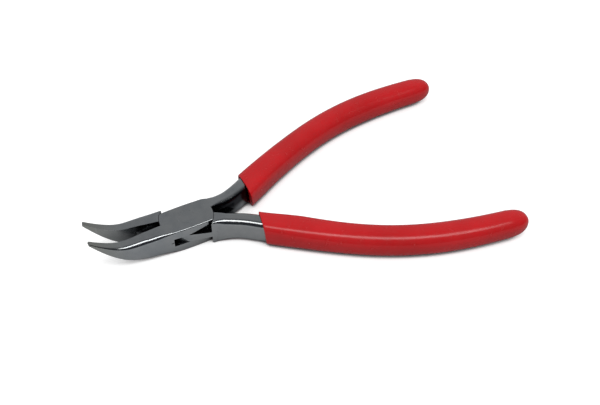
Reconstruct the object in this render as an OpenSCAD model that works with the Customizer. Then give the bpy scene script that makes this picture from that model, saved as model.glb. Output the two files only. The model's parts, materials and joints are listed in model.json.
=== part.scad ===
// Bent needle nose pliers with a box joint and sleeved handles.
//
// One forged half is slotted and the other has a thin tongue that passes through the slot. A pin
// through both is the only axle. Each half is drawn with the jaws closed, when both gripping faces
// lie on the plane y = 0, and is then turned about the pin to the resting opening.
// The origin is on the pin's axis, at the underside of the box joint. +Z runs along the pin,
// +X points to the handle ends, and the nose points to -X and bends up to +Z.

/* [Joint] */
// Thickness of the box joint
box_t = 8.8; // [8.4:0.1:9.2]
// Half of the joint's width at the pin
box_half_w = 5.15; // [4.95:0.05:5.3]
// Radius of the round shoulders that the halves turn on
shoulder_r = 8.4; // [8.2:0.1:8.8]
// Thickness of the tongue, without its clearance
tongue_t = 3.1; // [2.7:0.1:3.5]
// Radius of the joint pin
pin_r = 2.2; // [1.8:0.1:2.6]
// Angle between the halves at rest, counted from closed jaws
rest_opening = 13; // [2:0.2:36]

/* [Nose] */
// Distance from the pin to the nose tip
nose_reach = 30.6; // [29.5:0.1:32]
// Height of the upturned tip above the underside
tip_height = 13.1; // [12.2:0.1:14]
// Slope of the nose's top edge at the tip, in degrees
tip_slope = 36.6; // [30:0.2:43]
// Width of one jaw at the tip
tip_w = 1.65; // [1.3:0.05:2]

/* [Handles] */
// Distance from the pin to the grip ends
handle_reach = 103.2; // [99:0.2:107]
// Distance from the pin's plane to a grip's end, across the tool
handle_spread = 23.2; // [22:0.2:24.4]
// Width of the shank across the handle, where it enters a grip
shank_w = 5.2; // [4.8:0.1:5.4]
// Height of the shank behind the joint
shank_h = 7.6; // [7.2:0.1:7.8]

/* [Grips] */
// Distance from the pin to the mouth of a grip
mouth_x = 22.4; // [22:0.1:23]
// Width of a grip at its fullest
grip_w = 9.2; // [9:0.1:9.5]
// Height of a grip at its fullest
grip_h = 8.6; // [8.5:0.1:8.9]
// How far the mouth of a grip leans: its lower edge is this much further from the pin
mouth_lean = 0.8; // [0:0.1:1.2]

/* [Hidden] */

face_gap = 0.02;                  // each gripping face stands this far off the closing plane
slide_gap = 0.05;                 // clearance of every sliding or turning surface
grip_gap = 0.06;                  // clearance between a tang and its grip
table_gap = 0.02;                 // a grip clears the plane of the joint's underside by this much
cut = 1;                          // cutting shapes run this far past the faces they cut
round_sides = 180;                // facets of round surfaces
mid_z = box_t / 2;
web_t = tongue_t - 2 * slide_gap;

barrel_r = 118;                   // side faces of the joint are slightly barrelled
jaw_root = [-6.5, 0.2 - box_half_w];    // the jaw's taper starts here, just inside the barrel
jaw_belly = 0.4;                  // the taper bulges this much half-way along
jaw_steps = 8;
slot_mouth_x = 5.5;               // where the slot opens on the side faces
slot_end_x = 16.2;                // where the slot runs out on the inner faces
slot_end_y = 1.5;                 // how far over it runs out on the shank's inner face
tongue_foot_x = 15.5;             // where the tongue runs out on the inner faces
tongue_foot_y = 1.9;              // how far over it runs out on the shank's inner face
tongue_heel = [9, 3];             // the tongue is full width as far as this, then narrows to its foot
tongue_proud = 0.2;               // drawn this much wider than the joint, then cut flush with it
wedge_x = -1;                     // behind this, on the tongue's open side, the slot's ceiling rises
wedge_y = 2.8;                    // the rise stays this far out, clear of the pin
ceiling_rise = 2.2;               // how much it rises at the shoulder
tongue_fall = 1.2;                // and how much the tongue's top falls there
head_flare = 0.5;                 // the pin's peened heads fill countersinks of this depth and width

flat_top_x = -8;                  // the joint's flat top and underside run this far towards the nose
flat_under_x = -3;
nose_top_start = [-14, box_t - 0.3];    // the nose's upper and lower edges start to bend here
nose_under_start = [-7, 0.54];
nose_top_angle = 184;
nose_under_angle = 171.7;
nose_wedge = 16.5;                // the lower edge meets the tip at this angle to the upper edge
tip_chin = 0.4;                   // the tip's lower corner is this much further out, and lower
nose_steps = 16;                  // straight pieces along each curve of the nose

shank_start_x = shoulder_r - 0.6; // the shank starts inside the round shoulder
shank_start_y = 2.58;
shank_start_w = 4.6;
shank_pull = 5.45;                // how strongly the shank's curve holds its direction at each end
shank_shift = 0.6;                // the shank enters a grip this far outside the grip's middle line
step_len = 6.6;                   // behind the shoulder it steps in to the shank's height over this length
knee_x = 22;                      // the shank turns into the long curve of the handle here
knee_y = 5.6;
knee_angle = 26.5;
knee_pull = 34.2;                 // how strongly that curve holds its direction at the knee
end_pull = 36.8;                  // and at the grip's end
end_angle = -5.4;
tang_share = 0.93;                // share of the handle's curve that the steel reaches
tang_end_w = 3.6;
tang_end_h = 5.8;
tang_steps = 24;

mouth_flare = 0.03;               // a grip is this much fuller at its mouth
flare_share = 0.3;                // share of the handle's curve over which that fades
end_taper = 0.11;                 // it is this much slimmer at its end
taper_share = 0.3;
mouth_pinch = 1.2;                // the tongue half's grip is drawn in this much at its mouth's inner side
mouth_spread = 0.3;               // and the slotted half's grip is spread this much there
pinch_share = 0.14;
mouth_share = 0.1;                // its sections turn square to the handle over this share
dome_share = 0.065;               // share of the handle's curve that the rounded end takes
body_steps = 22;
dome_steps = 8;
grip_sides = 32;                  // points round a grip
grip_corner = 3;                  // exponent of the superellipse that a grip's section follows
grip_z = (1 + mouth_flare) * grip_h / 2 + table_gap;

STEEL = [0.55, 0.57, 0.59];
VINYL = [0.72, 0.09, 0.11];

// ---- curves ----

// A point on the cubic Bezier curve through control points c.
function on_curve(c, t) =
    pow(1 - t, 3) * c[0] + 3 * pow(1 - t, 2) * t * c[1] + 3 * (1 - t) * t * t * c[2] + pow(t, 3) * c[3];

// The curve's unit tangent.
function tangent(c, t) =
    let (d = pow(1 - t, 2) * (c[1] - c[0]) + 2 * (1 - t) * t * (c[2] - c[1]) + t * t * (c[3] - c[2]))
    d / norm(d);

function polar(length, angle) = length * [cos(angle), sin(angle)];

function leftward(v) = [-v[1], v[0]];

// Control points of a curve from start to end that leaves and arrives at the given angles.
function spline(start, start_angle, start_pull, end, end_angle, end_pull) =
    [start, start + polar(start_pull, start_angle), end - polar(end_pull, end_angle), end];

shank_start = [shank_start_x, shank_start_y];
knee = [knee_x, knee_y];
shank_end = knee + polar(shank_shift, knee_angle + 90);
grip_end = [handle_reach, handle_spread];
shank_curve = spline(shank_start, 0, shank_pull, shank_end, knee_angle, shank_pull);
handle_curve = spline(knee, knee_angle, knee_pull, grip_end, end_angle, end_pull);

tip_top = [-nose_reach, tip_height];
tip_under = tip_top - [tip_chin, tip_chin];
nose_top = spline(nose_top_start, nose_top_angle, 5.9, tip_top, 180 - tip_slope, 10.9);
nose_under =
    spline(nose_under_start, nose_under_angle, 9.8, tip_under, 180 - nose_wedge - tip_slope, 18.7);

// ---- outlines ----

// The barrelled strip that both halves' joint faces are flush with.
module joint_strip() {
    intersection() {
        translate([0, barrel_r - box_half_w]) circle(barrel_r, $fn = round_sides);
        translate([0, box_half_w - barrel_r]) circle(barrel_r, $fn = round_sides);
    }
}

// One jaw from above: a slightly bulging taper along the closing plane, on the -y side.
module jaw_plan() {
    tip = [-nose_reach, -tip_w];
    end_x = tip[0] - tip_chin - cut;
    function side(t) = tip + t * (jaw_root - tip) - [0, jaw_belly * 4 * t * (1 - t)];
    polygon(concat(
        [[0, jaw_root[1]], [0, -face_gap], [end_x, -face_gap], [end_x, -tip_w]],
        [for (i = [0:jaw_steps]) side(i / jaw_steps)]));
}

// A strip along a curve, its width and its shift to the left going evenly from start to end values.
module strip(c, start_w, end_w, shift = 0, last = 1, steps = 20) {
    function side(t, sign) =
        let (w = start_w + (end_w - start_w) * t / last)
        on_curve(c, t) + (shift * (1 - t / last) + sign * w / 2) * leftward(tangent(c, t));
    left = [for (i = [0:steps]) side(last * i / steps, 1)];
    right = [for (i = [steps:-1:0]) side(last * i / steps, -1)];
    polygon(concat(left, right));
}

// Shank and tang from above, on the +y side.
module handle_plan() {
    strip(shank_curve, shank_start_w, shank_w, steps = 10);
    strip(handle_curve, shank_w, tang_end_w, shank_shift, tang_share, tang_steps);
}

// The whole forging from the side, as points [x, z]. Behind the joint it steps in to the shank's height.
function side_outline() =
    let (n = nose_steps,
         top = [for (i = [0:n]) on_curve(nose_top, i / n)],
         bottom = [for (i = [n:-1:0]) on_curve(nose_under, i / n)],
         drop = (box_t - shank_h) / 2,
         end_drop = (box_t - tang_end_h) / 2,
         step = [[0, 0], [step_len * 0.4, drop * 0.55], [step_len, drop]],
         back = [[knee_x, drop], [handle_reach, end_drop]],
         under = concat([for (p = step) p + [shoulder_r, 0]], back),
         over = [for (i = [len(under) - 1:-1:0]) [under[i][0], box_t - under[i][1]]])
    concat([[flat_top_x, box_t]], top, bottom, [[flat_under_x, 0]], under, over);

module side_block() {
    half = 2 * handle_spread;
    translate([0, half, 0]) rotate([90, 0, 0]) linear_extrude(2 * half) polygon(side_outline());
}

// ---- joint details ----

// A flat layer half-way up the joint.
module layer(height) {
    translate([0, 0, mid_z - height / 2]) linear_extrude(height) children();
}

// The pin, with its two flush peened heads.
module pin_body() {
    head_r = pin_r + head_flare;
    cylinder(r = pin_r, h = box_t, $fn = round_sides);
    cylinder(r1 = head_r, r2 = pin_r, h = head_flare, $fn = round_sides);
    translate([0, 0, box_t - head_flare])
        cylinder(r1 = pin_r, r2 = head_r, h = head_flare, $fn = round_sides);
}

// A cylinder that cuts right through the joint.
module cutter(r) {
    translate([0, 0, -cut]) cylinder(r = r, h = box_t + 2 * cut, $fn = round_sides);
}

// The slot through the slotted half. Its end walls slant from the side faces to the inner faces.
module slot_plan() {
    far = 2 * box_half_w;
    polygon([
        [-slot_mouth_x, -far], [-slot_mouth_x, -box_half_w], [-slot_end_x, 0], [-slot_end_x, far],
        [slot_mouth_x, far], [slot_mouth_x, box_half_w], [slot_end_x, slot_end_y], [slot_end_x, -far]
    ]);
}

// The tongue through that slot, with the jaw on the +y side and the shank on the -y side.
module tongue_plan() {
    side = box_half_w + tongue_proud;
    heel_x = tongue_heel[0];
    intersection() {
        polygon([
            [-tongue_foot_x, face_gap], [0, -side], [heel_x, -side], [heel_x, -tongue_heel[1]],
            [tongue_foot_x, -tongue_foot_y], [0, side], [-heel_x, side], [-heel_x, face_gap]
        ]);
        joint_strip();
    }
}

// A wedge on the open side that widens to the rear, between two heights at its rear end.
module side_wedge(start_z, low_z, high_z) {
    rear_x = shoulder_r + slide_gap;
    translate([0, -wedge_y, mid_z]) rotate([90, 0, 0]) linear_extrude(box_half_w)
        polygon([[wedge_x, start_z], [rear_x, low_z], [rear_x, high_z]]);
}

// ---- sub-parts, with the jaws closed ----

// The forging outside the joint: jaw on the -y side, shank and tang on the +y side.
module lever_blank() {
    intersection() {
        linear_extrude(tip_height + cut) {
            jaw_plan();
            handle_plan();
        }
        side_block();
    }
}

module slotted_half() {
    color(STEEL) difference() {
        union() {
            lever_blank();
            layer(box_t) intersection() {
                circle(shoulder_r, $fn = round_sides);
                joint_strip();
            }
        }
        layer(tongue_t) slot_plan();
        side_wedge(tongue_t / 2 - slide_gap, 0, tongue_t / 2 + ceiling_rise);
        pin_body();
    }
}

module tongue_half() {
    color(STEEL) difference() {
        union() {
            difference() {
                mirror([0, 1, 0]) lever_blank();
                cutter(shoulder_r + slide_gap);
            }
            difference() {
                layer(web_t) tongue_plan();
                side_wedge(web_t / 2, web_t / 2 - tongue_fall, web_t / 2 + cut);
            }
        }
        cutter(pin_r + slide_gap);
    }
}

module joint_pin() {
    color(STEEL) pin_body();
}

// ---- grips ----

// Size of a grip at t, as a share of its full size: it flares at the mouth, tapers and ends in a dome.
function flare(t) = mouth_flare * max(0, 1 - t / flare_share);
function taper(t) = end_taper * max(0, 1 - (1 - t) / taper_share);
function dome(t) = sqrt(1 - pow(max(0, 1 - (1 - t) / dome_share), 2));
function grip_size(t) = (1 + flare(t) - taper(t)) * dome(t);

// How much a grip's inner side is drawn in near its mouth, from its amount at the mouth itself.
function pinch(t, at_mouth) = at_mouth * max(0, 1 - t / pinch_share);

function superellipse(a, b) = [for (i = [0:grip_sides - 1])
    let (c = cos(360 * i / grip_sides), s = sin(360 * i / grip_sides))
    [a * sign(c) * pow(abs(c), 2 / grip_corner), b * sign(s) * pow(abs(s), 2 / grip_corner)]];

// The same number of points round a rectangle, so that the two kinds of ring can be joined.
function rectangle(a, b) = [for (i = [0:grip_sides - 1])
    let (c = cos(360 * i / grip_sides), s = sin(360 * i / grip_sides), m = max(abs(c), abs(s)))
    [a * c / m, b * s / m]];

// Sections stand square to the handle, except near the mouth, which is cut across the whole tool.
function squareness(t) = min(1, t / mouth_share);

function section_across(t) =
    squareness(t) * leftward(tangent(handle_curve, t)) + (1 - squareness(t)) * [0, 1 / cos(knee_angle)];

function section_lean(t) =
    (squareness(t) - 1) * mouth_lean / grip_h / cos(knee_angle) * tangent(handle_curve, t);

function place_ring(ring, t, z, shift) = [for (p = ring)
    let (q = on_curve(handle_curve, t) + (p[0] + shift) * section_across(t) + p[1] * section_lean(t))
    [q[0], q[1], z + p[1]]];

function section_centre(t) = concat(on_curve(handle_curve, t), mid_z);

mouth_t = (mouth_x - knee_x) / (3 * knee_pull * cos(knee_angle));
cavity_end = tang_share + 0.003;
outer_ts = concat(
    [for (i = [0:body_steps]) mouth_t + (1 - dome_share - mouth_t) * i / body_steps],
    [for (i = [1:dome_steps - 1]) 1 - dome_share + dome_share * sin(90 * i / dome_steps)]);
tang_ts = [for (i = [0:tang_steps]) mouth_t + (cavity_end - mouth_t) * i / tang_steps];

function outer_ring(t, at_mouth) =
    let (p = pinch(t, at_mouth), w = grip_w * grip_size(t) - p, h = grip_h * grip_size(t))
    place_ring(superellipse(w / 2, h / 2), t, grip_z, p / 2);

function tang_ring(t) =
    let (share = t / tang_share,
         w = shank_w + (tang_end_w - shank_w) * share,
         x_share = (on_curve(handle_curve, t)[0] - knee_x) / (handle_reach - knee_x),
         h = shank_h + (tang_end_h - shank_h) * x_share)
    place_ring(rectangle(w / 2 + grip_gap, h / 2 + grip_gap), t, mid_z, shank_shift * (1 - share));

function around(i) = (i + 1) % grip_sides;

// Side faces between n rings of points, the first one numbered from start.
function walls(start, n, inward) = [for (r = [0:n - 2], i = [0:grip_sides - 1])
    let (a = start + r * grip_sides + i, b = start + r * grip_sides + around(i),
         c = b + grip_sides, d = a + grip_sides)
    inward ? [a, b, c, d] : [a, d, c, b]];

// A sleeve on the +y handle: an outer skin with a domed end, and a cavity that holds the tang.
// Its inner side is drawn in by at_mouth at the mouth.
module sleeve(at_mouth) {
    outer = [for (t = outer_ts) each outer_ring(t, at_mouth)];
    cavity = [for (t = tang_ts) each tang_ring(t)];
    n_out = len(outer_ts);
    n_in = len(tang_ts);
    pole = len(outer) + len(cavity);
    floor_pole = pole + 1;
    last_out = (n_out - 1) * grip_sides;
    first_in = len(outer);
    last_in = first_in + (n_in - 1) * grip_sides;
    polyhedron(
        points = concat(outer, cavity, [section_centre(1), section_centre(cavity_end)]),
        faces = concat(
            walls(0, n_out, false),
            walls(first_in, n_in, true),
            [for (i = [0:grip_sides - 1]) [i, around(i), first_in + around(i), first_in + i]],
            [for (i = [0:grip_sides - 1]) [last_out + around(i), last_out + i, pole]],
            [for (i = [0:grip_sides - 1]) [last_in + i, last_in + around(i), floor_pole]]),
        convexity = 6);
}

module slotted_half_grip() {
    color(VINYL) sleeve(-mouth_spread);
}

module tongue_half_grip() {
    color(VINYL) mirror([0, 1, 0]) sleeve(mouth_pinch);
}

// ---- assembly at the resting opening ----

module slotted_side() {
    rotate(rest_opening / 2) children();
}

module tongue_side() {
    rotate(-rest_opening / 2) children();
}

slotted_side() slotted_half();
tongue_side() tongue_half();
slotted_side() joint_pin();
slotted_side() slotted_half_grip();
tongue_side() tongue_half_grip();
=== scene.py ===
"""Bent needle nose pliers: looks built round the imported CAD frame.

Lengths are in millimetres until a mesh is made. Each steel half and each sleeve is shaped with the jaws
closed, its jaw on the -y side, then mirrored if need be and turned about the pin to the resting opening.
"""

import json
import math

import bpy
import numpy as np
from mathutils import Matrix, Vector


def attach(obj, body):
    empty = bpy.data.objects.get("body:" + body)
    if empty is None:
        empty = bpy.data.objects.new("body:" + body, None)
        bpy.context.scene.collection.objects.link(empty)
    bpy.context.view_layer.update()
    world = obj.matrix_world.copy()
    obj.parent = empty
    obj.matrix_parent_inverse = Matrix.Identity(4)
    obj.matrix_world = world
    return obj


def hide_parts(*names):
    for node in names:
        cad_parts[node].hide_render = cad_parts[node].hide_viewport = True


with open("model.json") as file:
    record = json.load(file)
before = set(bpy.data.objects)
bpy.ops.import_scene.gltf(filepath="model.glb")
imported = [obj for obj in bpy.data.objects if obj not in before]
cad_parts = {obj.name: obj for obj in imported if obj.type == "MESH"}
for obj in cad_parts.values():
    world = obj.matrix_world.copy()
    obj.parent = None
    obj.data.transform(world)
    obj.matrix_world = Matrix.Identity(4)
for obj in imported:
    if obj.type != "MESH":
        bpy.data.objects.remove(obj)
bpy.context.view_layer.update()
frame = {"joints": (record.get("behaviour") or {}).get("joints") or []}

MM = 0.001

# ---- driving dimensions, as in the CAD source ----
BOX_T = 8.8                 # thickness of the box joint
MID_Z = BOX_T / 2
BOX_HALF_W = 5.15           # half of the joint's width at the pin
BARREL_R = 118.0            # radius of the joint's barrelled side faces
SHOULDER_R = 8.4            # round shoulders the halves turn on
SLIDE_GAP = 0.05            # clearance of every sliding or turning surface
FACE_GAP = 0.02             # gripping faces stand this far off the closing plane
SLOT_T = 3.1                # height of the slot through the slotted half
SLOT_MOUTH_X = 5.5          # where the slot opens on the side faces
SLOT_END_X = 16.2           # where it runs out on the inner faces
SLOT_END_Y = 1.5            # how far over it runs out on the shank's inner face
TONGUE_FOOT_X = 15.5        # where the tongue runs out on the inner faces
TONGUE_FOOT_Y = 1.9         # how far over it runs out on the shank's inner face
TONGUE_PROUD = 0.2          # the tongue's plan is cut from a strip this much wider than the joint
WEB_T = SLOT_T - 2 * SLIDE_GAP
WEDGE_X = -1.0              # behind this, on the tongue's open side, the slot's ceiling rises
WEDGE_Y = 2.8               # the rise stays this far out, clear of the pin
CEILING_RISE = 2.2          # how much it rises at the shoulder
TONGUE_FALL = 1.2           # and how much the tongue's top falls there
PIN_R = 2.2
PIN_HEAD_FLARE = 0.5        # width and depth of the pin's peened heads
PIN_HEAD_CHAMFER = 0.03
NOSE_REACH = 30.6           # from the pin to the tips
TIP_W = 1.65                # width of each tip
JAW_ROOT_X = -6.5           # the jaw's taper starts here, in front of the pin
JAW_ROOT_INSET = 0.2        # and this much inside the joint's side
JAW_ROOT_BLEND = 0.5        # the taper and the joint's side melt together by this much
JAW_BELLY = 0.4             # the jaw's taper bulges this much half-way along
LEVER_OFFSET = 2.58         # the shank's middle line passes this far from the pin's plane
SHANK_START_W = 4.6
SHANK_W = 5.2
SHANK_WAIST = 0.1           # the shank's outer face stands this much in, just behind the shoulder
SHANK_FRONT_S = 4           # its front end, buried in the joint
SHANK_SHIFT = 0.6           # the shank enters a sleeve this far outside the sleeve's middle line
SHANK_H = 7.6
SHANK_TAPER_S = 8           # the shank thins from the joint's height to its own from here
SHANK_TAPER_LEN = 7.5       # over this length
TANG_END_W = 3.6
TANG_END_H = 5.8
TANG_SHARE = 0.93           # share of the handle's curve that the steel reaches
GRIP_W = 9.2
GRIP_H = 8.6
MOUTH_FLARE = 0.03          # a sleeve is this much fuller at its mouth
FLARE_SHARE = 0.32          # which fades over this share of its length
END_TAPER = 0.1078          # it slims by up to this much towards its end
TAPER_FROM = 0.62           # from this share of its length on
TAPER_SHARE = 0.5           # and would take this share to do so fully
MOUTH_PINCH = 1.2           # the tongue half's sleeve is drawn in this much at its mouth's inner side
MOUTH_SPREAD = 0.3          # and the slotted half's sleeve is spread this much there
GRIP_Z = (1 + MOUTH_FLARE) * GRIP_H / 2 + 0.02
REST_TURN = math.radians(frame["joints"][0]["range_deg"][1] / 2)   # each half is turned this far open at rest

# ---- curves ----


def bezier(points, count=400):
    c = np.array(points, float)
    t = np.linspace(0, 1, count)[:, None]
    return (1 - t) ** 3 * c[0] + 3 * (1 - t) ** 2 * t * c[1] + 3 * (1 - t) * t ** 2 * c[2] + t ** 3 * c[3]


def spline(start, start_angle, start_pull, end, end_angle, end_pull, count=400):
    """A cubic curve that leaves start and reaches end at the given angles in degrees."""
    a, b = math.radians(start_angle), math.radians(end_angle)
    start, end = np.array(start, float), np.array(end, float)
    leave = start + start_pull * np.array([math.cos(a), math.sin(a)])
    arrive = end - end_pull * np.array([math.cos(b), math.sin(b)])
    return bezier([start, leave, arrive, end], count)


def smooth(x):
    x = np.clip(x, 0, 1)
    return x * x * (3 - 2 * x)


KNEE = (22.0, 5.6)          # where the shank meets the handle's long curve
KNEE_ANGLE = 26.5
GRIP_END = (103.2, 23.2)
GRIP_END_ANGLE = -5.4
HANDLE_PULLS = (34.2, 36.8) # how strongly the handle's curve keeps its direction at its start and end
SHANK_ROOT_X = SHOULDER_R - 0.6
SHANK_PULL = 5.45
TOP_BREAK_X = -14           # the nose's upper edge starts to rise here
TOP_FALL = 0.3              # and lies this much below the top of the joint there
TOP_FLAT_X = -8             # from here forward it falls to that
TOP_BREAK_ANGLE = 184
TOP_PULLS = (5.9, 10.9)
BOTTOM_BREAK_X = -7         # the nose's lower edge leaves its first gentle rise here
BOTTOM_RISE = 0.54          # having risen this much
BOTTOM_FLAT_X = -2.4        # from a start here
BOTTOM_RISE_LEN = 6.4       # the rise would take this length and reach this much more, but is cut off level
BOTTOM_OVERSHOOT = 1.32
BOTTOM_BREAK_ANGLE = 171.7
BOTTOM_PULLS = (9.8, 18.7)
TIP_TOP = (-NOSE_REACH, 13.1)
TIP_BOTTOM = (-NOSE_REACH - 0.4, 12.7)
TIP_SLOPE = 36.6            # the upper edge's slope at the tip; the lower edge is steeper
TIP_SPREAD = 16.5           # by this much
TIP_CUT = math.radians(45)  # direction of the nose where its end is cut off square

knee_side = math.radians(KNEE_ANGLE + 90)
SHANK_END = (KNEE[0] + SHANK_SHIFT * math.cos(knee_side), KNEE[1] + SHANK_SHIFT * math.sin(knee_side))
shank_curve = spline((SHANK_ROOT_X, LEVER_OFFSET), 0, SHANK_PULL, SHANK_END, KNEE_ANGLE, SHANK_PULL)
handle_curve = spline(KNEE, KNEE_ANGLE, HANDLE_PULLS[0], GRIP_END, GRIP_END_ANGLE, HANDLE_PULLS[1], 800)
nose_top = spline((TOP_BREAK_X, BOX_T - TOP_FALL), TOP_BREAK_ANGLE, TOP_PULLS[0],
                  TIP_TOP, 180 - TIP_SLOPE, TOP_PULLS[1])
nose_bottom = spline((BOTTOM_BREAK_X, BOTTOM_RISE), BOTTOM_BREAK_ANGLE, BOTTOM_PULLS[0],
                     TIP_BOTTOM, 180 - TIP_SPREAD - TIP_SLOPE, BOTTOM_PULLS[1])

# The path of the lever's middle line behind the joint, by its length from the shoulder.
tang_t = np.linspace(0, 1, len(handle_curve))
tang_side = np.gradient(handle_curve, tang_t, axis=0)[:, ::-1] * (-1, 1)
tang_side /= np.linalg.norm(tang_side, axis=1)[:, None]
tang_curve = handle_curve + (SHANK_SHIFT * np.clip(1 - tang_t / TANG_SHARE, 0, 1))[:, None] * tang_side
tang_curve = tang_curve[tang_t <= TANG_SHARE]
path = np.vstack([shank_curve[shank_curve[:, 0] >= SHOULDER_R], tang_curve[1:]])
path_len = np.concatenate([[0], np.cumsum(np.linalg.norm(np.diff(path, axis=0), axis=1))])
path_dir = np.gradient(path, path_len, axis=0)
path_dir /= np.linalg.norm(path_dir, axis=1)[:, None]
TANG_END_S = SHOULDER_R + path_len[-1]
KNEE_S = SHOULDER_R + path_len[np.searchsorted(path[:, 0], SHANK_END[0])]
CENTRING_LEN = 12           # the grid's middle moves over from the pin's plane to the shank in this length

# ---- a signed distance for each steel half, in lever coordinates (s, n, z) ----
# s is x as far as the shoulder and length along the handle after it, n is across, z is height.


def place(s, n):
    """Plan position of lever coordinates, with the jaws closed."""
    along = np.clip(s - SHOULDER_R, 0, path_len[-1])
    over = np.maximum(s - SHOULDER_R - path_len[-1], 0)
    shift = n - LEVER_OFFSET * centring(s)
    cx = np.interp(along, path_len, path[:, 0])
    cy = np.interp(along, path_len, path[:, 1])
    tx = np.interp(along, path_len, path_dir[:, 0])
    ty = np.interp(along, path_len, path_dir[:, 1])
    x = np.where(s < SHOULDER_R, s, cx + over * tx - shift * ty)
    y = np.where(s < SHOULDER_R, n, cy + over * ty + shift * tx)
    return x, y


def centring(s):
    """How much the grid is still centred on the pin's plane: 1 at the shoulder, 0 well behind it."""
    return 1 - smooth((s - SHOULDER_R) / CENTRING_LEN)


def top_z(x):
    z = np.interp(-x, -nose_top[:, 0], nose_top[:, 1])
    near = BOX_T - TOP_FALL * smooth((TOP_FLAT_X - x) / (TOP_FLAT_X - TOP_BREAK_X))
    return np.where(x > TOP_BREAK_X, near, z)


def bottom_z(x):
    z = np.interp(-x, -nose_bottom[:, 0], nose_bottom[:, 1])
    near = BOTTOM_RISE * smooth((BOTTOM_FLAT_X - x) / BOTTOM_RISE_LEN) * BOTTOM_OVERSHOOT
    return np.where(x > BOTTOM_BREAK_X, np.minimum(near, BOTTOM_RISE), z)


def slope_scale(height, x):
    """Turns a height above a sloping edge into a distance from it."""
    step = 0.05
    return 1 / np.hypot(1, (height(x + step) - height(x - step)) / (2 * step))


def barrel(x):
    """Half width of the joint, whose side faces are slightly barrelled."""
    return BOX_HALF_W - x * x / (2 * BARREL_R)


def jaw_side(x):
    """Half width of the joint and jaw, from the closing plane to the outer face."""
    share = np.clip((x + NOSE_REACH) / (NOSE_REACH + JAW_ROOT_X), 0, 1.2)
    taper = TIP_W + share * (BOX_HALF_W - JAW_ROOT_INSET - TIP_W) + JAW_BELLY * 4 * share * (1 - share)
    full = barrel(np.maximum(x, -9))
    h = np.clip(0.5 + 0.5 * (full - taper) / JAW_ROOT_BLEND, 0, 1)
    return full + (taper - full) * h - JAW_ROOT_BLEND * h * (1 - h)


def shank_half_height(s):
    behind = BOX_T / 2 + (SHANK_H - BOX_T) / 2 * smooth((s - SHANK_TAPER_S) / SHANK_TAPER_LEN)
    taper = smooth((s - KNEE_S) / (TANG_END_S - KNEE_S)) * (SHANK_H - TANG_END_H) / 2
    return behind - taper


def shank_half_width(s):
    grown = np.interp(s, [SHOULDER_R, KNEE_S], [SHANK_START_W / 2, SHANK_W / 2])
    taper = np.clip((s - KNEE_S) / (TANG_END_S - KNEE_S), 0, 1) * (SHANK_W - TANG_END_W) / 2
    return grown - taper


def corner(a, b, r):
    """Where two faces meet, rounded to radius r."""
    return np.minimum(-r, np.maximum(a, b)) + np.hypot(np.maximum(a + r, 0), np.maximum(b + r, 0))


def section(outer, inner, top, bottom, r_outer, r_inner):
    """A bar's section; its lower edges are rounded half as much as its upper ones."""
    upper = np.maximum(corner(outer, top, r_outer), corner(inner, top, r_inner))
    lower = np.maximum(corner(outer, bottom, r_outer / 2), corner(inner, bottom, r_inner / 2))
    return np.maximum(upper, lower)


# Radius of the edges at stations along the lever: fine at tips and joint, full on the jaws and shanks.
EDGE_S = np.array([-30, -25, -20, -15, -10.5, -5.5, 7.2, 8.6, 11, 24, 30])
EDGE_R = np.array([0.4, 0.8, 1.4, 1.55, 1.35, 0.5, 0.5, 1.1, 1.85, 1.9, 1.4])
INNER_EDGE_S = np.array([8, 12, 24])
INNER_EDGE_R = np.array([0.1, 1.6, 1.6])
GRIPPING_EDGE_R = 0.02
SHOULDER_EDGE_R = 0.22      # edges of the round shoulders
SLOT_EDGE_R = 0.03          # and of the slot and tongue
TIP_EDGE_R = 0.3
TANG_EDGE_R = 0.8


def lever(s, n, z, with_joint):
    """The forging without slot or tongue: the jaw, the joint's block if asked for, the shank and tang."""
    x, y = place(s, n)
    r_edge = np.interp(s, EDGE_S, EDGE_R)
    outer = -y - jaw_side(x)
    top = (z - top_z(x)) * slope_scale(top_z, x)
    bottom = (bottom_z(x) - z) * slope_scale(bottom_z, x)
    jaw = section(outer, y + FACE_GAP, top, bottom, r_edge, GRIPPING_EDGE_R)
    jaw = np.maximum(jaw, x)
    tip = (np.array(TIP_TOP) + np.array(TIP_BOTTOM)) / 2
    end = (tip[0] - x) * math.cos(TIP_CUT) + (z - tip[1]) * math.sin(TIP_CUT)
    jaw = corner(jaw, end, TIP_EDGE_R)

    across = n - LEVER_OFFSET * centring(s)
    half_h = shank_half_height(s)
    swell = np.where(s < SHOULDER_R, barrel(x) - LEVER_OFFSET, 0)
    waist = SHANK_WAIST * (1 - smooth((s - SHOULDER_R) / 3))
    wide = np.where(s < SHOULDER_R, swell, shank_half_width(s) - waist)
    r_inner = np.interp(s, INNER_EDGE_S, INNER_EDGE_R)
    shank = section(across - wide, -across - shank_half_width(s), z - MID_Z - half_h, MID_Z - half_h - z,
                    r_edge, r_inner)
    shank = np.maximum(shank, SHANK_FRONT_S - s)
    shank = corner(shank, s - TANG_END_S, TANG_EDGE_R)
    body = np.minimum(jaw, shank)
    if with_joint:
        block = section(outer, y - barrel(x), z - BOX_T, bottom, r_edge, r_edge)
        body = np.minimum(body, corner(block, np.hypot(x, y) - SHOULDER_R, SHOULDER_EDGE_R))
    return body, x, y


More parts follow.
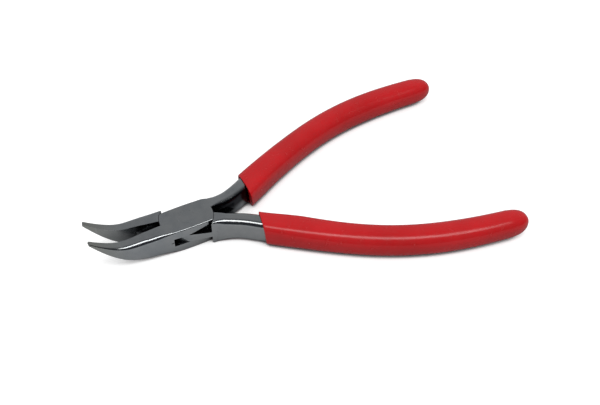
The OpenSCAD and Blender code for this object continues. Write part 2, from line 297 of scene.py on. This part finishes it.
def slotted_half(s, n, z):
    """The lever with its joint's block, less the slot and the wedge above the tongue's open side."""
    body, x, y = lever(s, n, z, True)
    front_run = (SLOT_END_X - SLOT_MOUTH_X) / BOX_HALF_W
    rear_run = (SLOT_END_X - SLOT_MOUTH_X) / (BOX_HALF_W - SLOT_END_Y)
    front = (-SLOT_MOUTH_X - front_run * (y + BOX_HALF_W) - x) / math.hypot(1, front_run)
    rear = (x - SLOT_MOUTH_X - rear_run * (BOX_HALF_W - y)) / math.hypot(1, rear_run)
    slot = np.maximum(np.maximum(front, rear), np.abs(z - MID_Z) - SLOT_T / 2)
    rise = CEILING_RISE / (SHOULDER_R - WEDGE_X)
    ceiling = (z - MID_Z - SLOT_T / 2 - rise * (x - WEDGE_X)) / math.hypot(1, rise)
    wedge = np.maximum(np.maximum(y + WEDGE_Y, ceiling), MID_Z - z)
    return corner(body, -np.minimum(slot, wedge), SLOT_EDGE_R)


def tongue_half(s, n, z):
    """The lever cut clear of the slotted half's shoulders, with the thin tongue and its hole for the pin."""
    body, x, y = lever(s, n, z, False)
    radius = np.hypot(x, y)
    body = corner(body, SHOULDER_R + SLIDE_GAP - radius, SHOULDER_EDGE_R)
    side = BOX_HALF_W + TONGUE_PROUD
    front_rise = side / TONGUE_FOOT_X
    rear_rise = (side + TONGUE_FOOT_Y) / TONGUE_FOOT_X
    front = (y - side - front_rise * x) / math.hypot(1, front_rise)
    rear = (-y - side + rear_rise * x) / math.hypot(1, rear_rise)
    plan = np.maximum(np.maximum(front, rear), np.maximum(np.abs(y) - barrel(x), np.abs(x) - TONGUE_FOOT_X))
    fall = TONGUE_FALL / (SHOULDER_R - WEDGE_X)
    top = (MID_Z + WEB_T / 2 - fall * (x - WEDGE_X) - z) / math.hypot(1, fall)
    web = corner(plan, np.abs(z - MID_Z) - WEB_T / 2, SLOT_EDGE_R)
    web = np.maximum(web, -np.maximum(WEDGE_Y - y, top))
    body = np.minimum(body, web)
    return np.maximum(body, PIN_R + SLIDE_GAP - radius)


# ---- meshing a signed distance on the lever's own grid ----


def runs(*knots):
    """Stations from (start, step) pairs, the last pair giving only the end."""
    out = []
    for (a, step), (b, _) in zip(knots, knots[1:]):
        count = max(1, round((b - a) / step))
        out.append(np.linspace(a, b, count, endpoint=False))
    return np.concatenate(out + [[knots[-1][0]]])


S_GRID = runs((-NOSE_REACH - 1.2, 0.13), (-26, 0.2), (-9.6, 0.1), (-7.6, 0.18), (7.6, 0.1), (9.4, 0.28),
              (24, 0.8), (TANG_END_S - 1.5, 0.25), (TANG_END_S + 0.7, 1))
N_GRID = runs((-5.2, 0.13), (-1.7, 0.1), (0.1, 0.13), (5.2, 1))
H_GRID = runs((-4.9, 0.13), (4.9, 1))


def lift(s):
    """Height of the grid's middle line, which follows the nose."""
    x = np.minimum(s, 0)
    return (top_z(x) + bottom_z(x)) / 2


def surface_net(distance):
    """Vertices and quads of distance = 0. Each crossed cell gets one vertex, where the tangent planes at its
    crossed edges meet best, so that sharp edges stay sharp."""
    axes = (S_GRID, N_GRID, H_GRID)
    s, n, h = np.meshgrid(*axes, indexing="ij")
    value = distance(s, n, h + lift(s))
    inside = value < 0
    cells = np.array([c - 1 for c in value.shape])

    edge_id, spots, normals, first = [], [], [], 0
    for axis in range(3):
        low, high = [slice(None)] * 3, [slice(None)] * 3
        low[axis], high[axis] = slice(0, -1), slice(1, None)
        index = np.argwhere(inside[tuple(low)] != inside[tuple(high)])
        ids = np.full(value.shape, -1, np.int32)
        ids[tuple(index.T)] = first + np.arange(len(index))
        edge_id.append(ids)
        first += len(index)
        start = np.stack([axes[k][index[:, k]] for k in range(3)], 1)
        end = start.copy()
        end[:, axis] = axes[axis][index[:, axis] + 1]
        fa, fb = value[tuple(index.T)], value[tuple((index + np.eye(3, dtype=int)[axis]).T)]
        spot = start + (fa / (fa - fb))[:, None] * (end - start)
        for _ in range(3):
            f = at_points(distance, spot)
            same = (f < 0) == (fa < 0)
            start[same], fa[same] = spot[same], f[same]
            end[~same], fb[~same] = spot[~same], f[~same]
            spot = start + np.clip(fa / (fa - fb), 0.1, 0.9)[:, None] * (end - start)
        spots.append(spot)
        normals.append(gradient(distance, spot))
    spots, normals = np.vstack(spots), np.vstack(normals)
    normals /= np.maximum(np.linalg.norm(normals, axis=1), 1e-9)[:, None]

    count = np.zeros(cells, np.int8)
    for c in np.ndindex(2, 2, 2):
        count += inside[tuple(slice(c[k], c[k] + cells[k]) for k in range(3))]
    home = np.argwhere((count > 0) & (count < 8))
    number = np.full(cells, -1, np.int64)
    number[tuple(home.T)] = np.arange(len(home))
    plane = np.zeros((len(home), 3, 3))
    offset = np.zeros((len(home), 3))
    middle = np.zeros((len(home), 3))
    hits = np.zeros(len(home))
    for axis in range(3):
        for du, dv in np.ndindex(2, 2):
            shift = np.zeros(3, int)
            shift[(axis + 1) % 3], shift[(axis + 2) % 3] = du, dv
            ids = edge_id[axis][tuple((home + shift).T)]
            real = ids >= 0
            v, p = normals[ids[real]], spots[ids[real]]
            plane[real] += v[:, :, None] * v[:, None, :]
            offset[real] += v * (v * p).sum(1)[:, None]
            middle[real] += p
            hits[real] += 1
    middle /= hits[:, None]
    stiff = plane + 0.02 * np.eye(3)
    pull = offset[:, :, None] - plane @ middle[:, :, None]
    points = middle + np.linalg.solve(stiff, pull)[:, :, 0]
    low = np.stack([axes[k][home[:, k]] for k in range(3)], 1)
    high = np.stack([axes[k][home[:, k] + 1] for k in range(3)], 1)
    points = np.clip(points, low, high)

    quads = []
    for axis in range(3):
        u, v = (axis + 1) % 3, (axis + 2) % 3
        index = np.argwhere(edge_id[axis] >= 0)
        index = index[(index[:, [u, v]] > 0).all(1) & (index[:, [u, v]] < cells[[u, v]]).all(1)]
        corner_cells = []
        for du, dv in ((1, 1), (0, 1), (0, 0), (1, 0)):
            cell = index.copy()
            cell[:, u] -= du
            cell[:, v] -= dv
            corner_cells.append(number[tuple(cell.T)])
        quad = np.stack(corner_cells, 1)
        inward = ~inside[tuple(index.T)]
        quad[inward] = quad[inward][:, ::-1]
        quads.append(quad)
    return points, np.vstack(quads)


def at_points(distance, p):
    return distance(p[:, 0], p[:, 1], p[:, 2] + lift(p[:, 0]))


def gradient(distance, points, step=0.002):
    out = np.zeros_like(points)
    for k in range(3):
        d = np.zeros(3)
        d[k] = step
        out[:, k] = at_points(distance, points + d) - at_points(distance, points - d)
    return out / (2 * step)


# ---- from points to objects ----


def to_rest(points, mirrored):
    """Millimetres with the jaws closed to metres at the resting opening."""
    p = np.array(points, float)
    if mirrored:
        p[:, 1] *= -1
    a = -REST_TURN if mirrored else REST_TURN
    c, s = math.cos(a), math.sin(a)
    x = c * p[:, 0] - s * p[:, 1]
    y = s * p[:, 0] + c * p[:, 1]
    return np.stack([x, y, p[:, 2]], 1) * MM


def make_object(name, points, faces, mirrored=False, sharp=35):
    mesh = bpy.data.meshes.new(name)
    faces = [list(reversed(f)) if mirrored else list(f) for f in faces]
    mesh.from_pydata(to_rest(points, mirrored).tolist(), [], faces)
    mesh.validate()
    mesh.shade_smooth()
    mesh.set_sharp_from_angle(angle=math.radians(sharp))
    obj = bpy.data.objects.new(name, mesh)
    bpy.context.scene.collection.objects.link(obj)
    return obj


def steel_half(name, distance, mirrored):
    points, quads = surface_net(distance)
    x, y = place(points[:, 0], points[:, 1])
    real = np.stack([x, y, np.maximum(points[:, 2] + lift(points[:, 0]), 0)], 1)
    return make_object(name, real, quads.tolist(), mirrored)


def lathe(profile, sides):
    """Points and faces of a closed solid turned about z, from (radius, z) pairs that start and end on it."""
    angles = np.arange(sides) * 2 * math.pi / sides
    inner = profile[1:-1]
    points = [(r * math.cos(a), r * math.sin(a), z) for r, z in inner for a in angles]
    points += [(0, 0, profile[0][1]), (0, 0, profile[-1][1])]
    first, last = len(points) - 2, len(points) - 1
    faces = []
    for i in range(sides):
        j = (i + 1) % sides
        faces.append((first, j, i))
        for r in range(len(inner) - 1):
            a, b = r * sides, (r + 1) * sides
            faces.append((a + i, a + j, b + j, b + i))
        top = (len(inner) - 1) * sides
        faces.append((top + i, top + j, last))
    return points, faces


def pin_profile(r, over, chamfer):
    """The pin's outline with its peened heads, or the hole for it if over is more than 0."""
    head = r + PIN_HEAD_FLARE
    ends = [(head - chamfer, -over), (head, chamfer - over)] if chamfer else [(head, -over), (head, 0)]
    neck = [(r, PIN_HEAD_FLARE), (r, BOX_T - PIN_HEAD_FLARE)]
    tops = [(rr, BOX_T - z) for rr, z in reversed(ends)]
    return [(0, -over)] + ends + neck + tops + [(0, BOX_T + over)]


def bore(half):
    """Cuts the pin's hole through a half, with crisp edges."""
    points, faces = lathe(pin_profile(PIN_R, 0.5, 0), 128)
    cutter = make_object("cutter", points, faces)
    cut = half.modifiers.new("bore", "BOOLEAN")
    cut.operation = "DIFFERENCE"
    cut.solver = "EXACT"
    cut.object = cutter
    bpy.context.view_layer.update()
    graph = bpy.context.evaluated_depsgraph_get()
    mesh = bpy.data.meshes.new_from_object(half.evaluated_get(graph))
    half.modifiers.clear()
    half.data = mesh
    mesh.shade_smooth()
    mesh.set_sharp_from_angle(angle=math.radians(35))
    bpy.data.objects.remove(cutter)


# ---- sleeves ----

RING = 72                   # points round a sleeve
MOUTH_X = 22.4              # the mouth is square to the whole tool here
MOUTH_LEAN = 0.8            # its top leans this far back
SQUARE_LEN = 12             # a sleeve's rings turn from square to the tool to square to the handle in this
PINCH_LEN = 13              # and its mouth's pinch fades in this
LIP_R = 0.3                 # rounding of the mouth's outer edge
DOME_LEN = 6.4              # length of the rounded end
SKIN_INSET = 0.022          # a sleeve is this share smaller than the CAD's
MOUTH_POWER = 3.2           # how square its section is at the mouth
BODY_POWER = 2.9            # and from the middle on
TOP_SOFTEN = 0.6            # its upper half is rounder by this much, reached over SOFTEN_LEN
SOFTEN_LEN = 30
CAVITY_GAP = 0.12           # clearance round the tang
TANG_END_GAP = 0.3          # and beyond its end
CAVITY_LOOSE = (0.25, 0.05) # extra clearance at the mouth, across and in height
LOOSE_LEN = 5               # length over which that fades
CAVITY_POWER = 6
BEVEL_POWER = 5.4           # squareness of the mouth's inner bevel

grip_len = np.concatenate([[0], np.cumsum(np.linalg.norm(np.diff(handle_curve, axis=0), axis=1))])
grip_dir = np.gradient(handle_curve, grip_len, axis=0)
grip_dir /= np.linalg.norm(grip_dir, axis=1)[:, None]
GRIP_LEN = grip_len[-1]
MOUTH_S = (MOUTH_X - KNEE[0]) / math.cos(math.radians(KNEE_ANGLE))


def grip_point(s):
    """Plan point and direction of the handle's curve at a length from the knee, run on straight before it."""
    k = np.clip(s, 0, GRIP_LEN)
    p = np.array([np.interp(k, grip_len, handle_curve[:, 0]), np.interp(k, grip_len, handle_curve[:, 1])])
    d = np.array([np.interp(k, grip_len, grip_dir[:, 0]), np.interp(k, grip_len, grip_dir[:, 1])])
    return p + (s - k) * d, d


def ring(s, half_w, half_h, power, z, shift=0.0, soften=0.0):
    """One ring of a sleeve: a superellipse across the handle, square to the whole tool at the mouth.
    Its upper half is rounder by the amount soften."""
    a = np.arange(RING) * 2 * math.pi / RING
    power = np.where(np.sin(a) > 0, power - soften, power)
    u = half_w * np.sign(np.cos(a)) * np.abs(np.cos(a)) ** (2 / power) + shift
    v = half_h * np.sign(np.sin(a)) * np.abs(np.sin(a)) ** (2 / power)
    p, d = grip_point(s)
    square = float(smooth((s - MOUTH_S) / SQUARE_LEN))
    stretch = 1 / math.cos(math.radians(KNEE_ANGLE))
    across = square * np.array([-d[1], d[0]]) + (1 - square) * np.array([0, stretch])
    lean = -(1 - square) * MOUTH_LEAN / GRIP_H * stretch * d
    xy = p + u[:, None] * across + v[:, None] * lean
    return np.column_stack([xy, z + v])


def cavity_rings(inner_end):
    """Rings of the cavity, from its floor to its mouth."""
    rings = []
    for s in np.concatenate([np.linspace(inner_end, MOUTH_S + 9, 40),
                             np.linspace(MOUTH_S + 8, MOUTH_S + 0.5, 14)]):
        k = max(0.0, min(1.0, s / (TANG_SHARE * GRIP_LEN)))
        w = SHANK_W / 2 - k * (SHANK_W - TANG_END_W) / 2 + CAVITY_GAP
        h = SHANK_H / 2 - smooth(k) * (SHANK_H - TANG_END_H) / 2 + CAVITY_GAP
        loose = float(1 - smooth((s - MOUTH_S) / LOOSE_LEN))
        rings.append(ring(s, w + CAVITY_LOOSE[0] * loose, h + CAVITY_LOOSE[1] * loose, CAVITY_POWER, MID_Z,
                          SHANK_SHIFT * (1 - k)))
    return rings


def mouth_rings(at_mouth):
    """Rings round the mouth's inner bevel, then its outer lip."""
    rings = []
    for a in np.radians(np.linspace(0, 90, 5)):
        widen = 0.2 * (1 - math.cos(a))
        rings.append(ring(MOUTH_S + 0.25 * (1 - math.sin(a)), SHANK_W / 2 + 0.4 + widen,
                          SHANK_H / 2 + 0.2 + widen / 2, BEVEL_POWER, MID_Z, SHANK_SHIFT))
    w, h = outer_half_size(MOUTH_S, at_mouth)
    for a in np.radians(np.linspace(0, 90, 6)):
        inset = LIP_R * (1 - math.sin(a))
        rings.append(ring(MOUTH_S + LIP_R * (1 - math.cos(a)), w - inset, h - inset, outer_power(MOUTH_S),
                          GRIP_Z, pinch(MOUTH_S, at_mouth) / 2))
    return rings


def skin_rings(at_mouth):
    """Rings of the outer skin, from behind the lip to the rounded end."""
    rings = []
    body_end = GRIP_LEN - DOME_LEN
    for s in np.concatenate([np.linspace(MOUTH_S + 0.8, MOUTH_S + 12, 20),
                             np.linspace(MOUTH_S + 13, body_end, 60)]):
        w, h = outer_half_size(s, at_mouth)
        soften = TOP_SOFTEN * float(smooth((s - MOUTH_S) / SOFTEN_LEN))
        rings.append(ring(s, w, h, outer_power(s), GRIP_Z, pinch(s, at_mouth) / 2, soften))
    w, h = outer_half_size(GRIP_LEN, at_mouth)
    for a in np.radians(np.linspace(0, 90, 17)[1:-1]):
        narrow = math.cos(a) ** 0.8
        rings.append(ring(body_end + DOME_LEN * math.sin(a), w * narrow, h * narrow, outer_power(GRIP_LEN),
                          GRIP_Z, 0, TOP_SOFTEN))
    return rings


def sleeve(name, mirrored, at_mouth):
    """A closed sleeve whose inner side is drawn in by at_mouth at the mouth."""
    inner_end = TANG_SHARE * GRIP_LEN + TANG_END_GAP
    rings = cavity_rings(inner_end) + mouth_rings(at_mouth) + skin_rings(at_mouth)
    count = len(rings)
    end, _ = grip_point(GRIP_LEN)
    floor_point, _ = grip_point(inner_end)
    points = np.vstack(rings + [[[*end, GRIP_Z]], [[*floor_point, MID_Z]]])
    pole, floor_pole = count * RING, count * RING + 1
    faces = []
    for i in range(RING):
        j = (i + 1) % RING
        faces.append((i, j, floor_pole))
        for r in range(count - 1):
            a, b = r * RING, (r + 1) * RING
            faces.append((a + j, a + i, b + i, b + j))
        last = (count - 1) * RING
        faces.append((last + j, last + i, pole))
    return make_object(name, points, faces, mirrored, sharp=60)


def outer_half_size(s, at_mouth):
    """Half width and half height of a sleeve: fuller at the mouth, slimmer towards the end."""
    k = s / GRIP_LEN
    flare = MOUTH_FLARE * smooth(1 - k / FLARE_SHARE)
    taper = END_TAPER * smooth((k - TAPER_FROM) / TAPER_SHARE)
    size = 1 + flare - taper - SKIN_INSET
    return GRIP_W / 2 * size - pinch(s, at_mouth) / 2, GRIP_H / 2 * size


def outer_power(s):
    """How square a sleeve's section is: 2 is an ellipse, and more is squarer."""
    return MOUTH_POWER + (BODY_POWER - MOUTH_POWER) * float(smooth(2 * s / GRIP_LEN))


def pinch(s, at_mouth):
    """How much a sleeve's inner side is drawn in near its mouth."""
    return at_mouth * float(1 - smooth((s - MOUTH_S) / PINCH_LEN))


# ---- materials ----


class Nodes:
    """A short way to write a node tree."""

    def __init__(self, tree):
        self.tree = tree
        tree.nodes.clear()

    def add(self, kind, settings=None, **inputs):
        node = self.tree.nodes.new(kind)
        for key, value in (settings or {}).items():
            setattr(node, key, value)
        for key, value in inputs.items():
            self.put(node, key.replace("_", " "), value)
        return node

    def put(self, node, key, value):
        socket = node.inputs[int(key) if key.isdigit() else key]
        if isinstance(value, bpy.types.NodeSocket):
            self.tree.links.new(value, socket)
        else:
            socket.default_value = value

    def math(self, operation, a, b=0.0, clamp=False):
        node = self.add("ShaderNodeMath", {"operation": operation, "use_clamp": clamp})
        self.put(node, "0", a)
        self.put(node, "1", b)
        return node.outputs[0]

    def mix(self, share, a, b):
        node = self.add("ShaderNodeMix", {"data_type": "RGBA"})
        for index, value in ((0, share), (6, a), (7, b)):
            self.put(node, str(index), value)
        return node.outputs[2]

    def noise(self, vector, scale, detail=3.0, roughness=0.5):
        node = self.add("ShaderNodeTexNoise", Vector=vector, Scale=scale, Detail=detail, Roughness=roughness)
        return node.outputs["Fac"]

    def spread(self, value, low, high, to_low=0.0, to_high=1.0):
        node = self.add("ShaderNodeMapRange", Value=value)
        for index, v in ((1, low), (2, high), (3, to_low), (4, to_high)):
            self.put(node, str(index), v)
        return node.outputs[0]

    def mapped(self, vector, scale, turn=0.0):
        return self.add("ShaderNodeMapping", Vector=vector, Scale=scale, Rotation=(0, 0, turn)).outputs[0]


def new_material(name):
    material = bpy.data.materials.new(name)
    material.use_nodes = True
    return material, Nodes(material.node_tree)


SHADE_FROM_X = 8.0          # the shanks' inner faces are painted near-black from here back: painted shade for the dark crotch between the handles
SHADE_FADE_FROM_X = 15            # but the painted shade fades out low down near the sleeves: behind here,
SHADE_GONE_X = 19
SHADE_FADE_FROM_Z = 4.5           # and below here
SHADE_GONE_Z = 2.5
WARM_FROM_X = -18           # the steel turns faintly warm towards the tips from here
WARM_FULL_X = -29


def steel(name, turn, inward, worn=1.0):
    """Fine-ground satin steel: a grain along the tool, faint mottling, stray scratches, brighter worn edges,
    and painted shade: near-black in recesses and on the shanks' inner faces behind the joint.
    turn lines the grain up with the half; inward, 1 or -1, is the side its shank's inner face looks to, which
    picks the faces for that painted shade."""
    material, t = new_material(name)
    place_in = t.add("ShaderNodeTexCoord").outputs["Object"]
    grain = t.noise(t.mapped(place_in, (260, 5200, 5200), turn), 1.0, 4.0, 0.6)
    mottle = t.noise(place_in, 260.0, 4.0, 0.55)
    broad = t.noise(place_in, 60.0, 2.0)
    marks = t.noise(t.mapped(place_in, (150, 8200, 8200), turn + 0.35), 1.0, 2.0)
    scratch = t.spread(marks, 0.66, 0.70)
    wear = t.spread(t.add("ShaderNodeNewGeometry").outputs["Pointiness"], 0.52, 0.60, 0, worn)
    # painted shade: recesses, the slot and the narrow gaps between parts are painted near-black, from ambient
    # occlusion
    hidden = t.add("ShaderNodeAmbientOcclusion", {"samples": 8}, Distance=6 * MM).outputs["AO"]
    unshaded = t.spread(hidden, 0.2, 0.62)
    # painted shade: the shanks' inner faces behind the joint are painted near-black (the mask named scale
    # here), fading out low down near the sleeves
    facing = t.add("ShaderNodeVectorMath", {"operation": "DOT_PRODUCT"})
    t.put(facing, "0", t.add("ShaderNodeTexCoord").outputs["Normal"])
    t.put(facing, "1", (math.sin(turn) * inward, math.cos(turn) * inward, 0))
    spot = t.add("ShaderNodeSeparateXYZ", Vector=place_in)
    behind = t.spread(spot.outputs["X"], SHADE_FROM_X * MM, (SHADE_FROM_X + 0.6) * MM)
    scale = t.math("MULTIPLY", t.spread(facing.outputs["Value"], 0.3, 0.75), behind)
    clear = t.math("MULTIPLY", t.spread(spot.outputs["X"], SHADE_FADE_FROM_X * MM, SHADE_GONE_X * MM),
                   t.spread(spot.outputs["Z"], SHADE_FADE_FROM_Z * MM, SHADE_GONE_Z * MM))
    scale = t.math("MULTIPLY", scale, t.math("SUBTRACT", 1.0, clear))
    warm = t.spread(spot.outputs["X"], WARM_FROM_X * MM, WARM_FULL_X * MM, 0, 0.6)

    tone = t.mix(t.spread(mottle, 0.3, 0.7), (0.40, 0.425, 0.44, 1), (0.50, 0.515, 0.52, 1))
    tone = t.mix(t.math("MULTIPLY", t.spread(broad, 0.4, 0.65), 0.35), tone, (0.47, 0.475, 0.45, 1))
    tone = t.mix(t.math("MULTIPLY", wear, 0.5), tone, (0.66, 0.67, 0.68, 1))
    tone = t.mix(warm, tone, (0.38, 0.385, 0.33, 1))
    # the painted shade of the shanks' inner faces
    tone = t.mix(scale, tone, (0.03, 0.032, 0.037, 1))
    # the painted shade of recesses
    tone = t.mix(unshaded, (0.02, 0.02, 0.022, 1), tone)
    rough = t.math("ADD", t.spread(mottle, 0.2, 0.8, 0.17, 0.25), t.spread(grain, 0.2, 0.8, -0.04, 0.04))
    rough = t.math("SUBTRACT", rough, t.math("MULTIPLY", wear, 0.08))
    height = t.math("ADD", grain, t.math("MULTIPLY", scratch, -0.8))
    fine = t.add("ShaderNodeBump", Strength=0.25, Distance=0.004 * MM, Height=height).outputs[0]
    swell = t.noise(place_in, 420.0, 2.0)
    waves = t.add("ShaderNodeBump", Strength=0.5, Distance=0.02 * MM, Height=swell, Normal=fine)
    shader = t.add("ShaderNodeBsdfPrincipled", Metallic=1.0, Normal=waves.outputs[0])
    t.put(shader, "Base Color", tone)
    t.put(shader, "Roughness", rough)
    t.add("ShaderNodeOutputMaterial", Surface=shader.outputs[0])
    return material


def vinyl(name, turn):
    """Glossy red vinyl: slight colour drift, a soft orange-peel skin and a few fine rubs along the handle."""
    material, t = new_material(name)
    place_in = t.add("ShaderNodeTexCoord").outputs["Object"]
    drift = t.noise(place_in, 70.0, 3.0)
    cloud = t.noise(place_in, 420.0, 4.0)
    rubs = t.noise(t.mapped(place_in, (90, 2600, 2600), turn), 1.0, 3.0)
    peel = t.noise(place_in, 1500.0, 2.0)
    tone = t.mix(t.spread(drift, 0.35, 0.65), (0.42, 0.004, 0.006, 1), (0.49, 0.006, 0.009, 1))
    tone = t.mix(t.math("MULTIPLY", t.spread(cloud, 0.45, 0.75), 0.25), tone, (0.38, 0.006, 0.004, 1))
    rough = t.math("ADD", t.spread(cloud, 0.3, 0.7, 0.2, 0.28), t.spread(rubs, 0.62, 0.7, 0, 0.02))
    fine = t.add("ShaderNodeBump", Strength=0.15, Distance=0.01 * MM, Height=peel).outputs[0]
    swell = t.noise(place_in, 240.0, 2.0)
    waves = t.add("ShaderNodeBump", Strength=0.35, Distance=0.06 * MM, Height=swell, Normal=fine)
    shader = t.add("ShaderNodeBsdfPrincipled", Normal=waves.outputs[0])
    for key, value in (("Base Color", tone), ("Roughness", rough), ("IOR", 1.5), ("Coat Weight", 0.05),
                       ("Coat Roughness", 0.08), ("Subsurface Weight", 0.05), ("Subsurface Scale", 0.8 * MM)):
        t.put(shader, key, value)
    shader.inputs["Subsurface Radius"].default_value = (1.0, 0.15, 0.1)
    t.add("ShaderNodeOutputMaterial", Surface=shader.outputs[0])
    return material


# ---- the pieces ----

near_steel = steel("ground_steel_slotted", -REST_TURN, -1)
far_steel = steel("ground_steel_tongue", REST_TURN, 1)
pin_steel = steel("ground_steel_pin", -REST_TURN, -1, 0.0)
near_vinyl = vinyl("vinyl_slotted", -REST_TURN)
far_vinyl = vinyl("vinyl_tongue", REST_TURN)


def finish_piece(obj, material, body, node):
    """Gives a piece its material and its body, and hides the CAD node it stands for."""
    obj.data.materials.clear()
    obj.data.materials.append(material)
    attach(obj, body)
    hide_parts(node)


slotted = steel_half("slotted_half_forging", slotted_half, False)
bore(slotted)
finish_piece(slotted, near_steel, "slotted_side", "slotted_half")

tongue = steel_half("tongue_half_forging", tongue_half, True)
finish_piece(tongue, far_steel, "tongue_side", "tongue_half")

pin_points, pin_faces = lathe(pin_profile(PIN_R, 0, PIN_HEAD_CHAMFER), 128)
pin = make_object("joint_pin_flush", pin_points, pin_faces)
finish_piece(pin, pin_steel, "slotted_side", "joint_pin")

upper_sleeve = sleeve("slotted_half_sleeve", False, -MOUTH_SPREAD)
finish_piece(upper_sleeve, near_vinyl, "slotted_side", "slotted_half_grip")
lower_sleeve = sleeve("tongue_half_sleeve", True, MOUTH_PINCH)
finish_piece(lower_sleeve, far_vinyl, "tongue_side", "tongue_half_grip")

# ---- stage ----

VIEW_ELEVATION = math.radians(46.11)
VIEW_TURN = math.radians(20.87)           # the camera looks this far from +Y towards +X
VIEW_DISTANCE = 301.25 * MM
LOOK_AT = Vector((37.74, 0.96, 0)) * MM
LENS_MM = 55.8
SENSOR_MM = 36
FLOOR_HALF = 6.0            # half the floor's side, in metres
CONTACT_REACH = 1.7 * MM    # the floor gets a painted contact shadow this close to the object

away = Vector((math.sin(VIEW_TURN), math.cos(VIEW_TURN), 0))
right = Vector((math.cos(VIEW_TURN), -math.sin(VIEW_TURN), 0))


def make_camera():
    data = bpy.data.cameras.new("camera")
    data.lens = LENS_MM
    data.sensor_width = SENSOR_MM
    data.clip_start = 0.01
    camera = bpy.data.objects.new("camera", data)
    bpy.context.scene.collection.objects.link(camera)
    back = -away * math.cos(VIEW_ELEVATION) + Vector((0, 0, math.sin(VIEW_ELEVATION)))
    camera.location = LOOK_AT + VIEW_DISTANCE * back
    camera.rotation_euler = (-back).to_track_quat("-Z", "Y").to_euler()
    bpy.context.scene.camera = camera


def make_floor():
    """A plain white sheet, darker in reflections and bounced light so that it doesn't flood the steel, with a
    painted contact shadow, dark and faintly red, close to the object.
    """
    mesh = bpy.data.meshes.new("floor")
    r = FLOOR_HALF
    mesh.from_pydata([(-r, -r, 0), (r, -r, 0), (r, r, 0), (-r, r, 0)], [], [(0, 1, 2, 3)])
    floor = bpy.data.objects.new("floor", mesh)
    bpy.context.scene.collection.objects.link(floor)
    material, t = new_material("floor_paper")
    path_kind = t.add("ShaderNodeLightPath")
    seen = path_kind.outputs["Is Camera Ray"]
    # painted contact shadow: for camera rays the floor turns dark and faintly red close to the object, from
    # ambient occlusion, and its white emission lift fades there too
    unshaded = t.add("ShaderNodeAmbientOcclusion", {"samples": 16}, Distance=CONTACT_REACH).outputs["AO"]
    shadow_free = t.spread(unshaded, 0.2, 0.6)
    tone = t.mix(path_kind.outputs["Is Diffuse Ray"], (0.36, 0.365, 0.375, 1), (0.22, 0.22, 0.22, 1))
    tone = t.mix(seen, tone, t.mix(shadow_free, (0.10, 0.055, 0.07, 1), (0.92, 0.92, 0.92, 1)))
    paper = t.add("ShaderNodeBsdfDiffuse", Color=tone)
    lift = t.math("MULTIPLY", t.math("MULTIPLY", seen, shadow_free), 0.24)
    lift_white = t.add("ShaderNodeEmission", Strength=lift)
    shader = t.add("ShaderNodeAddShader")
    t.put(shader, "0", paper.outputs[0])
    t.put(shader, "1", lift_white.outputs[0])
    t.add("ShaderNodeOutputMaterial", Surface=shader.outputs[0])
    mesh.materials.append(material)


def area_light(name, spot, size, power):
    """A soft rectangular lamp aimed at LOOK_AT, size[0] long across the view and spot = (right, away, up)
    in metres from it."""
    data = bpy.data.lights.new(name, "AREA")
    data.shape = "RECTANGLE"
    data.size, data.size_y = size
    data.energy = power
    lamp = bpy.data.objects.new(name, data)
    bpy.context.scene.collection.objects.link(lamp)
    lamp.location = LOOK_AT + right * spot[0] + away * spot[1] + Vector((0, 0, spot[2]))
    down = (LOOK_AT - lamp.location).normalized()
    side = (right - down * right.dot(down)).normalized()
    lamp.rotation_euler = Matrix((side, (-down).cross(side), -down)).transposed().to_euler()


def make_world():
    """A dim room: dark on the camera's side, a paler wall behind the object."""
    world = bpy.data.worlds.new("studio")
    world.use_nodes = True
    bpy.context.scene.world = world
    t = Nodes(world.node_tree)
    direction = t.add("ShaderNodeTexCoord").outputs["Generated"]
    depth = t.add("ShaderNodeVectorMath", {"operation": "DOT_PRODUCT"})
    t.put(depth, "0", direction)
    t.put(depth, "1", away)
    behind = t.spread(depth.outputs["Value"], -0.1, 0.75)
    mirrored = t.mix(behind, (0.03, 0.033, 0.04, 1), (0.32, 0.325, 0.335, 1))
    scattered = t.add("ShaderNodeLightPath").outputs["Is Diffuse Ray"]
    tone = t.mix(scattered, mirrored, (0.95, 0.95, 0.95, 1))
    back = t.add("ShaderNodeBackground", Color=tone, Strength=1.0)
    t.add("ShaderNodeOutputWorld", Surface=back.outputs[0])


make_camera()
make_floor()
make_world()
area_light("top_lamp", (0.08, -0.20, 0.6), (0.66, 0.20), 1.5)
bpy.context.scene.view_settings.view_transform = "Standard"
